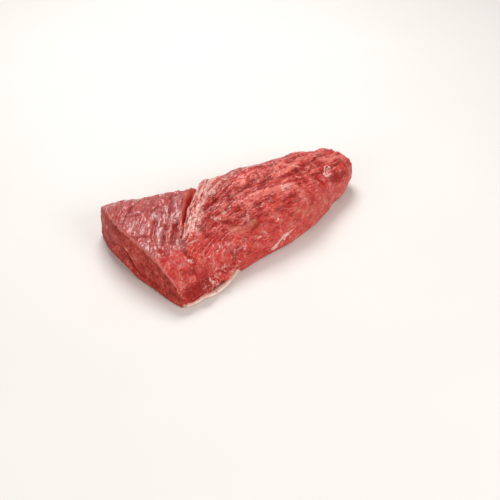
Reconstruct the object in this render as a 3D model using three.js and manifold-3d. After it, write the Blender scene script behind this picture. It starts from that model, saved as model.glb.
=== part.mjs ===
// Raw beef tri-tip: one solid of two muscles grown together, with a cleft between them.
// Millimetres, +Z up, +X from the flat cut end to the round tail, resting on z = 0.
import * as THREE from 'three';
import { mergeVertices } from 'three/addons/utils/BufferGeometryUtils.js';
import Module from 'manifold-3d';

const wasm = await Module();
wasm.setup();

// Distances along the meat
const CUT_X = -118;
const TAIL_START_X = 102;
const TAIL_TIP_X = 134;
const CUT_FADE = 75;

// Plan outline, as pairs of distance along the meat and distance across it
const FRONT_EDGE = [[-118, -76], [-92, -73], [-60, -66], [-20, -61.5], [30, -58], [65, -50], [102, -36]];
const BACK_EDGE = [[-118, 67], [-96, 63], [-75, 55], [-55, 48], [-30, 40], [5, 36], [50, 31.5], [80, 28.5], [102, 20]];

// Height of the crown along the meat, where the crown lies across it, and the widest levels
const CROWN_HEIGHT = [[-118, 43], [-80, 44], [-40, 48], [0, 54], [40, 53], [70, 50], [102, 44.5]];
const CROWN_ACROSS = [[-118, 15], [-70, 2], [-20, -8], [40, -8], [102, -6]];
const FRONT_WIDEST = [[-118, 2], [-80, 6], [-40, 12], [10, 15], [102, 20]];
const BACK_WIDEST = [[-118, 18], [0, 20], [102, 22]];

// Squareness of the section: 2 is an ellipse, more is boxier
const FRONT_SQUARENESS = [[-118, 2], [-40, 2.3], [30, 2.4], [102, 2.2]];
const BACK_SQUARENESS = [[-118, 4], [-60, 2.8], [0, 2.3], [102, 2.2]];
const FOOT_SQUARENESS = [[-118, 8], [30, 7], [102, 4]];
const FOOT_DROP = 1.1;

// The round tail
const TAIL_BLUNTNESS = 0.6;
const TAIL_TAPER = 0.25;
const TAIL_LEVEL = 22;

// The cut face: its bulge along X across its width, the lean of its top, and its middle
const CUT_BULGE = [[-76, 4], [-58, -1], [-34, -4.5], [-8, -9], [22, -11], [50, -6.5], [67, -2]];
const CUT_LEAN = 4;
const CUT_MIDDLE = { across: 5, height: 18 };

// Mesh density
const COLUMNS = 76;
const UPPER_SHARE = 0.66;
const CUT_RINGS = 15;
const BODY_RINGS = 41;
const TAIL_RINGS = 11;

// Points closer than this are one point
const WELD = 1e-4;

// Relief keeps clear of the flat foot between these heights
const FOOT_CLEAR = [2, 9];

// How much a surface turns up, or towards the cut end, before it takes the marks of that side
const FACING_UP = [0.15, 0.6];
const FACING_CUT = [0.6, 0.9];

// Soft lumps all over: the size and height of each layer, the waves that cross in it, the share on the cut
const LUMPS = [{ size: 40, height: 0.9 }, { size: 17, height: 0.6 }];
const LUMP_WAVES = 5;
const LUMP_SPREAD = 0.12;
const LUMPS_ON_CUT = 0.3;
const GOLDEN_TURN = Math.PI * (3 - Math.sqrt(5));

// Furrows and ridges of the upper side, from one plan point to another
const TOP_MARKS = [
  { name: 'long fold of the cut-end muscle', from: [-92, 6], to: [-113, -26], width: 4.5, height: -2.6 },
  { name: 'second fold', from: [-80, -6], to: [-106, -42], width: 4, height: -2.4 },
  { name: 'raised strand between the folds', from: [-84, 10], to: [-110, -34], width: 3.5, height: 1.4 },
  { name: 'groove below the cleft', from: [-82, -22], to: [-97, -46], width: 4.5, height: -3 },
  { name: 'crease near the cut', from: [-119, 21], to: [-104, 22], width: 3, height: -1.6 },
  { name: 'lower crease near the cut', from: [-123, -9], to: [-111, -16], width: 3, height: -1.6 },
  { name: 'rounded shoulder of the cleft', from: [-40, 34], to: [-84, -20], width: 6, height: -2 },
  { name: 'raised lip of the cleft', from: [-24, 24], to: [-76, -26], width: 11, height: 2.4 },
  { name: 'front shoulder of the long muscle', from: [-46, -24], to: [54, -36], width: 9, height: 1.8 },
  { name: 'trough behind the shoulder', from: [-24, -15], to: [42, 2], width: 9, height: -2.4 },
  { name: 'hollow of the front slope', from: [-62, -40], to: [-30, -46], width: 12, height: -2 },
  { name: 'swelling of the front slope', from: [0, -46], to: [60, -44], width: 12, height: 1.6 },
  { name: 'groove of the tail', from: [101, 12], to: [112, -6], width: 4, height: -2 },
  { name: 'tail lobe', from: [110, 14], to: [122, 0], width: 7, height: 1.6 },
];

// The split across the cut face, as plan-and-height points from the back to the front
const CUT_SPLIT = [[23, 20], [3, 27], [-4, 19], [-12, 15], [-21, 12], [-45, 10]];
const CUT_SPLIT_SIZE = { width: 3.2, height: -2.2 };
const CUT_LOWER_LIP = { from: [35, 7], to: [-40, 4], width: 6, height: 0.9 };

// The cleft between the two muscles, cut in from the back edge
const CLEFT = {
  start: [-22, 57],
  end: [-84, -25],
  mouth: 22,
  bow: 4,
  bowAt: 0.6,
  fullness: 0.3,
  fullnessAt: 0.5,
  narrowing: 1.4,
  floorAtStart: 22,
  floorAtEnd: 41,
  surface: 45,
  top: 75,
  undercut: 0.72,
};
const CLEFT_FACETS = 10;

// Thin strips that stand off the flesh: a path in plan, and how high each stands
const FAT_RIM = {
  path: [[-111, -74], [-101, -73], [-92, -70.5], [-84, -73], [-73, -72], [-62, -67.5], [-50, -62]],
  rise: [3, 3.4, 2.6, 3.6, 4.4, 3.4, 2.6],
  width: 4.6,
  thickness: 1.7,
  lean: -0.25,
};
const SIDE_SINEW = {
  path: [[-8, -60], [2, -60], [12, -58], [22, -55.5], [30, -53]],
  rise: [6, 8, 10.5, 13, 16],
  width: 3,
  thickness: 1.9,
  lean: 0.9,
};
const TAIL_SINEW = {
  path: [[86, -32], [92, -31], [96, -26], [93, -21], [88, -20]],
  width: 2.4,
  thickness: 2.2,
  lean: 0,
};
const STRIP_COLUMNS = 12;
const STRIP_RINGS = 22;

// A smooth curve through pairs, held level beyond its ends
function curveThrough(pairs) {
  const places = pairs.map((pair) => pair[0]);
  const values = pairs.map((pair) => pair[1]);
  const curve = new THREE.CubicInterpolant(places, values, 1);
  return (place) => curve.evaluate(THREE.MathUtils.clamp(place, places[0], places[places.length - 1]))[0];
}

const frontEdge = curveThrough(FRONT_EDGE);
const backEdge = curveThrough(BACK_EDGE);
const crownHeight = curveThrough(CROWN_HEIGHT);
const crownAcross = curveThrough(CROWN_ACROSS);
const frontWidest = curveThrough(FRONT_WIDEST);
const backWidest = curveThrough(BACK_WIDEST);
const frontSquareness = curveThrough(FRONT_SQUARENESS);
const backSquareness = curveThrough(BACK_SQUARENESS);
const footSquareness = curveThrough(FOOT_SQUARENESS);
const cutBulge = curveThrough(CUT_BULGE);

// The half width, widest level and squareness of the section, on its front or back side
function sectionSide(along, isBack) {
  const edge = isBack ? backEdge : frontEdge;
  const widest = isBack ? backWidest : frontWidest;
  const squareness = isBack ? backSquareness : frontSquareness;
  return {
    halfWidth: Math.abs(edge(along) - crownAcross(along)),
    widest: widest(along),
    squareness: squareness(along),
  };
}

// One point of the section, shrunk by a share towards the level of the tail
function sectionPoint(along, angle, shrink) {
  const toBack = Math.cos(angle);
  const upward = Math.sin(angle);
  const side = sectionSide(along, toBack > 0);
  const power = 2 / (upward > 0 ? side.squareness : footSquareness(along));
  const reach = upward > 0 ? crownHeight(along) - side.widest : -FOOT_DROP * side.widest;
  const offset = side.halfWidth * Math.sign(toBack) * Math.abs(toBack) ** power;
  const height = side.widest + reach * Math.abs(upward) ** power;
  return {
    across: crownAcross(along) + offset * shrink,
    height: Math.max(0, THREE.MathUtils.lerp(TAIL_LEVEL, height, shrink)),
  };
}

// The height of the plain upper side over a plan point of the body
function topHeight(along, across) {
  const offset = across - crownAcross(along);
  const side = sectionSide(along, offset > 0);
  const share = Math.min(1, Math.abs(offset) / side.halfWidth);
  const fall = (1 - share ** side.squareness) ** (1 / side.squareness);
  return side.widest + (crownHeight(along) - side.widest) * fall;
}

// How far the cut face stands along X from its nominal place
function cutOffset(across, height) {
  return cutBulge(across) + CUT_LEAN * (height / crownHeight(CUT_X)) ** 2;
}

// A point of the plain form: the rings run over the cut face, along the body and over the tail
function ringPoint(ring, angle) {
  if (ring <= CUT_RINGS) {
    const rim = sectionPoint(CUT_X, angle, 1);
    const across = THREE.MathUtils.lerp(CUT_MIDDLE.across, rim.across, ring / CUT_RINGS);
    const height = THREE.MathUtils.lerp(CUT_MIDDLE.height, rim.height, ring / CUT_RINGS);
    return [CUT_X + cutOffset(across, height), across, height];
  }
  const bodyRing = ring - CUT_RINGS;
  if (bodyRing <= BODY_RINGS) {
    const along = THREE.MathUtils.lerp(CUT_X, TAIL_START_X, bodyRing / BODY_RINGS);
    const { across, height } = sectionPoint(along, angle, 1);
    const fade = Math.max(0, 1 - (along - CUT_X) / CUT_FADE) ** 2;
    return [along + cutOffset(across, height) * fade, across, height];
  }
  const tailRing = bodyRing - BODY_RINGS;
  const turn = (tailRing / TAIL_RINGS) * (Math.PI / 2);
  const taper = 1 - TAIL_TAPER * Math.sin(turn);
  const shrink = tailRing === TAIL_RINGS ? 0 : taper * Math.cos(turn) ** TAIL_BLUNTNESS;
  const { across, height } = sectionPoint(TAIL_START_X, angle, shrink);
  return [THREE.MathUtils.lerp(TAIL_START_X, TAIL_TIP_X, Math.sin(turn)), across, height];
}

// The turn of each mesh column around the section, closer together on the upper side
function columnAngle(column) {
  const share = 1 - (column % COLUMNS) / COLUMNS;
  if (share < UPPER_SHARE) return (Math.PI * share) / UPPER_SHARE;
  return Math.PI * (1 + (share - UPPER_SHARE) / (1 - UPPER_SHARE));
}

function plainForm() {
  const rings = CUT_RINGS + BODY_RINGS + TAIL_RINGS;
  const geometry = new THREE.SphereGeometry(1, COLUMNS, rings);
  for (let ring = 0; ring <= rings; ring += 1) {
    for (let column = 0; column <= COLUMNS; column += 1) {
      const point = ringPoint(ring, columnAngle(column));
      geometry.attributes.position.setXYZ(ring * (COLUMNS + 1) + column, ...point);
    }
  }
  return merged(geometry);
}

// Shared vertices joined, and the triangles that this makes empty left out
function merged(geometry) {
  geometry.deleteAttribute('normal');
  geometry.deleteAttribute('uv');
  const joined = mergeVertices(geometry, WELD);
  const kept = [];
  for (let i = 0; i < joined.index.count; i += 3) {
    const corners = [0, 1, 2].map((corner) => joined.index.getX(i + corner));
    if (new Set(corners).size === 3) kept.push(...corners);
  }
  joined.setIndex(kept);
  return joined;
}

// Distance in a plane from a point to the line between two others
function nearLine(point, from, to) {
  const line = new THREE.Vector2(to[0] - from[0], to[1] - from[1]);
  const offset = new THREE.Vector2(point[0] - from[0], point[1] - from[1]);
  const share = THREE.MathUtils.clamp(offset.dot(line) / line.lengthSq(), 0, 1);
  return offset.addScaledVector(line, -share).length();
}

function mark(point, { from, to, width, height }) {
  return height * Math.exp(-((nearLine(point, from, to) / width) ** 2));
}

// Uneven lumps of about one size, from waves that cross at evenly spread turns
function lumps(point, { size, height }) {
  let sum = 0;
  for (let wave = 1; wave <= LUMP_WAVES; wave += 1) {
    const turn = wave * GOLDEN_TURN;
    const direction = new THREE.Vector3().setFromSphericalCoords(1, turn * LUMP_WAVES, turn);
    const length = size * (1 + LUMP_SPREAD * wave);
    sum += Math.sin((2 * Math.PI * point.dot(direction)) / length + turn);
  }
  return (height * sum) / Math.sqrt(LUMP_WAVES);
}

// How far the flesh stands out at a point, seen with the way it faces there
function relief(point, normal) {
  const facesUp = THREE.MathUtils.smoothstep(normal.z, ...FACING_UP);
  const facesCut = THREE.MathUtils.smoothstep(-normal.x, ...FACING_CUT);
  let out = LUMPS.reduce((sum, layer) => sum + lumps(point, layer), 0);
  out *= THREE.MathUtils.lerp(1, LUMPS_ON_CUT, facesCut);
  out += facesUp * TOP_MARKS.reduce((sum, row) => sum + mark([point.x, point.y], row), 0);
  out += facesCut * cutMarks([point.y, point.z]);
  return out * THREE.MathUtils.smoothstep(point.z, ...FOOT_CLEAR);
}

function cutMarks(point) {
  let deepest = 0;
  for (let i = 1; i < CUT_SPLIT.length; i += 1) {
    const row = { from: CUT_SPLIT[i - 1], to: CUT_SPLIT[i], ...CUT_SPLIT_SIZE };
    deepest = Math.min(deepest, mark(point, row));
  }
  return deepest + mark(point, CUT_LOWER_LIP);
}

function withRelief(geometry) {
  geometry.computeVertexNormals();
  const { position, normal } = geometry.attributes;
  for (let i = 0; i < position.count; i += 1) {
    const point = new THREE.Vector3().fromBufferAttribute(position, i);
    const facing = new THREE.Vector3().fromBufferAttribute(normal, i);
    point.addScaledVector(facing, relief(point, facing));
    position.setXYZ(i, point.x, point.y, point.z);
  }
  geometry.deleteAttribute('normal');
  return geometry;
}

// The wedge that opens the cleft: a leaf in plan, its floor sliding under the raised lip
function cleftWedge() {
  const from = new THREE.Vector2(...CLEFT.start);
  const along = new THREE.Vector2(...CLEFT.end).sub(from);
  const length = along.length();
  const leaf = new THREE.Shape();
  leaf.moveTo(0, 0);
  leaf.quadraticCurveTo(length * CLEFT.bowAt, -CLEFT.bow, length, 0);
  leaf.quadraticCurveTo(length * CLEFT.fullnessAt, CLEFT.mouth * CLEFT.fullness, 0, CLEFT.mouth);
  leaf.closePath();
  const wedge = new THREE.ExtrudeGeometry(leaf, {
    depth: 2,
    steps: 2,
    bevelEnabled: false,
    curveSegments: CLEFT_FACETS,
  });
  const position = wedge.attributes.position;
  for (let i = 0; i < position.count; i += 1) {
    const share = THREE.MathUtils.clamp(position.getX(i) / length, 0, 1);
    const level = Math.round(position.getZ(i));
    if (level === 0) {
      const lip = CLEFT.mouth * (1 - share) ** CLEFT.narrowing;
      position.setY(i, THREE.MathUtils.lerp(position.getY(i), lip, CLEFT.undercut));
    }
    const floor = THREE.MathUtils.lerp(CLEFT.floorAtStart, CLEFT.floorAtEnd, share);
    position.setZ(i, [floor, CLEFT.surface, CLEFT.top][level]);
  }
  wedge.rotateZ(along.angle());
  wedge.translate(from.x, from.y, 0);
  return merged(wedge);
}

// A thin strip with pointed ends, lying along a path
function strip({ path, rise, width, thickness, lean }) {
  const heights = path.map((place, i) => (rise ? rise[i] : topHeight(place[0], place[1])));
  const line = new THREE.CatmullRomCurve3(path.map((place, i) => new THREE.Vector3(...place, heights[i])));
  const geometry = new THREE.SphereGeometry(1, STRIP_COLUMNS, STRIP_RINGS);
  geometry.rotateZ(-Math.PI / 2);
  const position = geometry.attributes.position;
  for (let i = 0; i < position.count; i += 1) {
    const share = THREE.MathUtils.clamp((position.getX(i) + 1) / 2, 0, 1);
    const ahead = line.getTangentAt(share);
    const sideways = new THREE.Vector3(-ahead.y, ahead.x, 0).normalize();
    sideways.applyAxisAngle(ahead, lean);
    const upward = new THREE.Vector3().crossVectors(ahead, sideways);
    const point = line.getPointAt(share);
    point.addScaledVector(sideways, position.getY(i) * width);
    point.addScaledVector(upward, position.getZ(i) * thickness);
    position.setXYZ(i, point.x, point.y, Math.max(0, point.z));
  }
  return merged(geometry);
}

function solidFrom(geometry) {
  return new wasm.Manifold(
    new wasm.Mesh({
      numProp: 3,
      vertProperties: new Float32Array(geometry.attributes.position.array),
      triVerts: new Uint32Array(geometry.index.array),
    }),
  );
}

function geometryFrom(solid) {
  const mesh = solid.getMesh();
  const geometry = new THREE.BufferGeometry();
  geometry.setAttribute('position', new THREE.BufferAttribute(new Float32Array(mesh.vertProperties), 3));
  geometry.setIndex(new THREE.BufferAttribute(new Uint32Array(mesh.triVerts), 1));
  geometry.computeVertexNormals();
  return geometry;
}

// The whole cut, with its origin under the middle of its bounds
function triTip() {
  let solid = solidFrom(withRelief(plainForm()));
  solid = solid.subtract(solidFrom(cleftWedge()));
  for (const row of [FAT_RIM, SIDE_SINEW, TAIL_SINEW]) {
    solid = solid.add(solidFrom(strip(row)));
  }
  const geometry = geometryFrom(solid);
  geometry.computeBoundingBox();
  const middle = geometry.boundingBox.getCenter(new THREE.Vector3());
  geometry.translate(-middle.x, -middle.y, -geometry.boundingBox.min.z);
  return geometry;
}

const meat = new THREE.Group();
const rawBeef = new THREE.MeshStandardMaterial({ color: 0xb5504a, roughness: 0.45, metalness: 0 });
const body = new THREE.Mesh(triTip(), rawBeef);
body.name = 'beef_tri_tip';
meat.add(body);

export default meat;
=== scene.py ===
"""Looks of the raw beef tri-tip: flesh with its folds and films, the fat rim and the strips of sinew."""
import math
from collections import namedtuple

import bmesh
import bpy
import numpy as np
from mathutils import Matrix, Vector, noise
from mathutils.bvhtree import BVHTree


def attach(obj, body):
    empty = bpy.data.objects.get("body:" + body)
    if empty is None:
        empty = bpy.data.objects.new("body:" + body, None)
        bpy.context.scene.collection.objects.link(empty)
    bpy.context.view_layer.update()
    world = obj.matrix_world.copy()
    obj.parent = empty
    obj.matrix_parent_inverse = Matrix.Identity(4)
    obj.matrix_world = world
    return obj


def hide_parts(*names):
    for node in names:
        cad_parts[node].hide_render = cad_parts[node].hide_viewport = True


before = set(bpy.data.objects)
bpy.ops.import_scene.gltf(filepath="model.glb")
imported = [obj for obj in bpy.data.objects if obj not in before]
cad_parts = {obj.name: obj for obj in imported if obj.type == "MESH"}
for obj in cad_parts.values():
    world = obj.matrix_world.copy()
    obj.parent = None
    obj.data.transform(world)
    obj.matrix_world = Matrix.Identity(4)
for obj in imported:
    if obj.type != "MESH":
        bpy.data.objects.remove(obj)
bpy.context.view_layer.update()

# Sizes of the camera, the lights and the floor are in metres, all others in millimetres
METRE = 1000.0

# Camera
CAMERA_PLACE = (-0.3924, -0.5292, 0.5064)
CAMERA_TARGET = (-0.0206, -0.0359, 0.0)
CAMERA_LENS = 59.4
CAMERA_SENSOR = 36.0
CAMERA_NEAREST = 0.01

# Softboxes, aimed at one place, the even light of the room, and the floor
Softbox = namedtuple("Softbox", "name place size power")
SOFTBOXES = (
    Softbox("softbox over the back", (0.25, 0.55, 0.95), 0.55, 8.6),
    Softbox("softbox in front", (0.15, -1.0, 0.65), 0.6, 5.6),
    Softbox("softbox on the left", (-0.95, -0.25, 0.5), 0.6, 2.4),
)
LIGHT_TARGET = (0, 0, 0.02)
ROOM_LIGHT = 0.36
FLOOR_SIZE = 12.0
FLOOR_SEGMENTS = 4
FLOOR_DROP = 0.0004

# Places are given on the plan that the cut was drawn on, where the middle of its bounds lies here
PLAN_MIDDLE = np.array([3.0, -5.4, 0.0])

# Flesh mesh, which stays under CEILING
WELD = 0.01
FACE_PITCH = 1.0
SMOOTH_PASSES = 2
SMOOTHING = 0.5
CEILING = 56.3
LEAST_UPWARD = 0.2

# The parting of the two muscles in plan: along the lip of the cleft, then down the groove to the front edge
CLEFT_LIP = ((-4, 45), (-28, 27), (-46, 11), (-62, -3), (-75, -16), (-84, -25))
PARTING = ((20, 75), *CLEFT_LIP, (-91, -38), (-92, -50), (-100, -92))

# The cleft: the outer edge of its wall, and its floor, which rises from the back edge to the tip
CLEFT_EDGE = ((-10, 52), (-32, 36), (-44, 27), (-56, 14), (-68, -2), (-78, -15), (-84, -25))
CLEFT_FLOOR = ((-22, 57), (-84, -25))
CLEFT_FLOOR_HEIGHTS = (22, 41)

# Most pairs of numbers below are bands over which something fades in or out. These are of facing: 0 is edge
# on, 1 straight towards the side
UP_FACING = (0.15, 0.5)
FRONT_FACING = (0.2, 0.6)
BACK_FACING = (0.25, 0.7)
CUT_FACING = (0.5, 0.8)
UNDER_FACING = (0.5, 0.9)
STRANDS_FACING = (0.0, 0.4)
SHADED_SIDE_FACING = (0.1, 0.5)
RIM_FACING = (0.15, 0.45)
FAT_FOOT_FACING = (0.3, 0.7)

# Where the sides and zones of the flesh end, along the meat, across it, in height or from a path in plan
CUT_END = (-104, -100)
FRONT_BACK = (-25, -15)
UNDER_TOP = (1, 4)
PARTING_BAND = (-0.6, 0.6)
FILM_FRONT = (-46, -32)
SLOPE_START = (-58, -25)
SLOPE_TOP = (36, 46)
SHOULDER_START = (-25, 0)
SHOULDER_BACK = (-32, -20)
CORNER_END = (-72, -56)
CORNER_BACK = (-42, -30)
SLEEK_FRONT = (2, 14)
SLEEK_END = (50, 80)
CLEFT_EDGE_BAND = (-1, 1)
WALL_LIP = (-1, 0)
WALL_END = (-22, -16)
WALL_TIP = (-19, -13)
SHADED_SIDE_REACH = (2.5, 4.0)
SHADED_SIDE_END = (-16, -8)
SHADED_SIDE_TIP = (-84, -78)
STRANDS_START = (0.2, 1.5)
STRANDS_REACH = (11, 22)
STRANDS_END = (-10, 24)
RELIEF_FOOT = (0.6, 4.0)

# The slope counts this much before SLOPE_START, and the front corner is as calm as this share of the slope
SLOPE_LEAST = 0.45
CORNER_CALM = 0.8

# How the edges of zones, the fibres and the marks waver: how far, over what distance, and with what seed
FILM_WAVER = (5, 9, 21)
SLOPE_WAVER = (4, 9, 22)
LIP_WAVER = (4, 11, 23)
RIM_WAVER = (1.2, 6, 24)
SHOULDER_WAVER = (4, 11, 25)
CORNER_WAVER = (4, 9, 26)
MARK_WAVERS = ((1.3, 7.0, 31), (1.3, 7.0, 32))
MARK_RAGGED = (0.35, 3.0, 33)
STRAND_WAVER = (1.6, 13.0, 41)
LIP_STRAND_WAVER = (0.96, 13.0, 41)
FINE_WAVER = (0.9, 5.0, 42)

# Fibres of the end muscle run along END_FIBRE in plan. Those of the long muscle swing out of the tip of the
# cleft by LONG_SWING, and their slope falls towards LONG_FALL over LONG_REACH. Across FRONT_TURN, TURN_SHARE
# of the swing comes to be taken back, evenly beyond TURN_LIMIT. Within LIP_BAND of the lip of the cleft they
# run along LIP_FIBRE
END_FIBRE = (0.64, 0.77)
LONG_FALL = -0.1
LONG_SWING = 24.5
LONG_REACH = 70.0
FRONT_TURN = (-60, 0)
TURN_SHARE = 1.3
TURN_LIMIT = -45
LIP_FIBRE = (0.72, 0.69)
LIP_BAND = (8, 17)
LIP_DROP = 0.35

# Relief that follows the fibres: its length, width and seed
FOLDS = (30, 7, 1)
STROKES = (15, 3.2, 3)
FINE_STROKES = (6, 1.9, 2)
LIP_STRANDS = (44, 2.4, 12)

# How far it stands out, and what torn flesh and the film add to that or take off it
FOLD_RISE = 1.1
FOLD_RISE_TORN = 0.4
FOLD_RISE_FILM = 0.3
STROKE_RISE = 0.85
STROKE_LOSS_FILM = 0.35
LIP_STRAND_RISE = 0.75
FINE_STROKE_RISE = 0.4

# Relief that is even all round: how far it stands out, its size and its seed
GRIT = (0.2, 2.6, 4)
SOFT_LUMPS = (1.3, 14, 6)
WALL_LUMPS = (0.5, 12, 7)
CUT_GRIT = (0.35, 2.4, 8)
CUT_LUMPS = (0.5, 6, 9)

# The share of the relief that is missing on the slope, where colour varies less by the same share, on the
# back, the sleek back of the crown, the film and the shoulder
SLOPE_CALM = 0.6
BACK_CALM = 0.4
SLEEK_CALM = 0.45
FILM_CALM = 0.6
SHOULDER_CALM = 0.4

# How far a seed shifts the noise along each axis
SEED_STEPS = (7.13, 3.71, 5.37)

# Crests of folds and strokes
CREST_GAIN = 2.4
CREST_SHARPNESS = 1.2

# Crags: how far they stand out, their size and seed, and how they are pushed about, as shares of their size
CRAG_RISE = 0.65
CRAGS = (8, 5)
WARP_SIZE = 1.3
WARP_REACH = 0.7
WARP_SEEDS = (0.2, 0.4, 0.6)

# The bright band under the upper edge of the cut face, a painted highlight along that edge: its depth, and
# where it ends low down
RIM_DEPTH = (1.0, 4.0)
RIM_FOOT = (8, 16)

# The wall of the cleft is painted darkest under the lip, as shade, and less so beyond WALL_PALER_START
WALL_PALER = 0.3
WALL_PALER_START = (-50, -38)
WALL_LEAST_WIDTH = 0.5

# Thin fat: how much of the underside it covers, its patches and flecks, its share and its top on the back,
# and its top under the fat rim
FAT_COVER = 0.6
FAT_PATCHES = (0.9, 26, 11)
FAT_FLECKS = (0.25, 8, 12)
FAT_BACK_SHARE = 0.8
FAT_BACK_TOP = (10, 26)
FAT_UNDER_RIM_TOP = (4.2, 5.7)

# Textures of the flesh's colour that follow the fibres: their length, width, detail and shift along them
FIBRE_TEXTURES = {"strands": (13, 3.0, 3, 0.0), "threads": (7, 1.4, 2, 40), "hairs": (9, 2.0, 2, 80),
                  "streaks": (30, 2.4, 2, 120)}

# Even textures of its colour: their size and detail
EVEN_TEXTURES = {"pores": (1.1, 3), "painted_glints": (1.25, 1), "specks": (1.5, 2), "glints": (1.8, 2),
                 "mottle": (2.2, 2), "flecks": (3.6, 3), "veins": (8, 4), "patches": (9, 3),
                 "blotches": (22, 3)}

# Roughness of the noise of both
FIBRE_ROUGHNESS = 0.55
EVEN_ROUGHNESS = 0.6

# Painted shade: the wall of the cleft is painted darker from this height down, over this much
WALL_TOP = 44.5
WALL_FADE = 11.0

# Textures of the fat, the sinew and the floor: their size, detail and roughness
FAT_BLOTCHES = (5, 3, 0.55)
FAT_THREADS = (2.2, 3, 0.6)
SINEW_THREADS = (2.0, 3, 0.6)
STRIP_SPECKS = (1.1, 2, 0.6)
FLOOR_MOTTLE = (METRE / 6, 2, 0.5)

# Colours
DEEP_RED_AND_SHADE = "#8e0f0b"
DARK_RED = "#a8201a"
FLESH_RED = "#ce3b32"
FLESH_PINK = "#f17768"
SLOPE_TAN = "#cc8064"
FILM_PINK = "#ba5c5a"
# The white of the film, also used for its painted sheen and painted glints
FILM_WHITE_AND_HIGHLIGHT = "#ecc9c8"
FILM_SHADE = "#963836"
PALE_PINK_AND_GLINT = "#f4c8bc"
LIP_PINK = "#f8bdb0"
CORAL_AND_HIGHLIGHT = "#f98678"
BLOOD = "#b40f14"
CUT_BROWN = "#bf3c2e"
CUT_DARK = "#8c1a12"
CUT_PALE = "#e07a68"
RIM_HIGHLIGHT_PINK = "#e88a80"
# Tones of the cleft's wall: painted light at its edge, its own red, and painted shade deep in it and under
# the lip
WALL_LIT = "#f8846f"
WALL_RED = "#e2241c"
WALL_SHADE = "#780604"
FAT_CREAM = "#fad8c6"
FAT_WHITE = "#fbe6da"
FAT_PINK = "#eeb09e"
SINEW_PINK = "#df8a84"
SINEW_WHITE = "#f7c6bf"
FLOOR_SHADE = "#ece6e0"
FLOOR_WHITE = "#f1ece7"

# Gloss and depth of each finish, the same all over it; the subsurface scale is in metres
FLESH_GLOSS = {"IOR": 1.38, "Specular IOR Level": 0.3, "Coat Roughness": 0.1, "Coat IOR": 1.4,
               "Subsurface Weight": 0.1, "Subsurface Scale": 0.002, "Subsurface Radius": (1.0, 0.35, 0.25)}
FAT_GLOSS = {"Coat Weight": 0.5, "Coat Roughness": 0.2,
             "Subsurface Weight": 0.2, "Subsurface Scale": 0.003, "Subsurface Radius": (1.0, 0.6, 0.45)}
SINEW_GLOSS = {"Coat Weight": 0.5, "Coat Roughness": 0.15,
               "Subsurface Weight": 0.2, "Subsurface Scale": 0.002, "Subsurface Radius": (1.0, 0.5, 0.4)}
FLOOR_GLOSS = {"Roughness": 0.7}

# Strength and height of the bumps of a finish
FLESH_BUMPS = (0.9, 0.8)
FAT_BUMPS = (0.5, 0.5)
SINEW_BUMPS = (0.6, 0.5)

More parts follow.
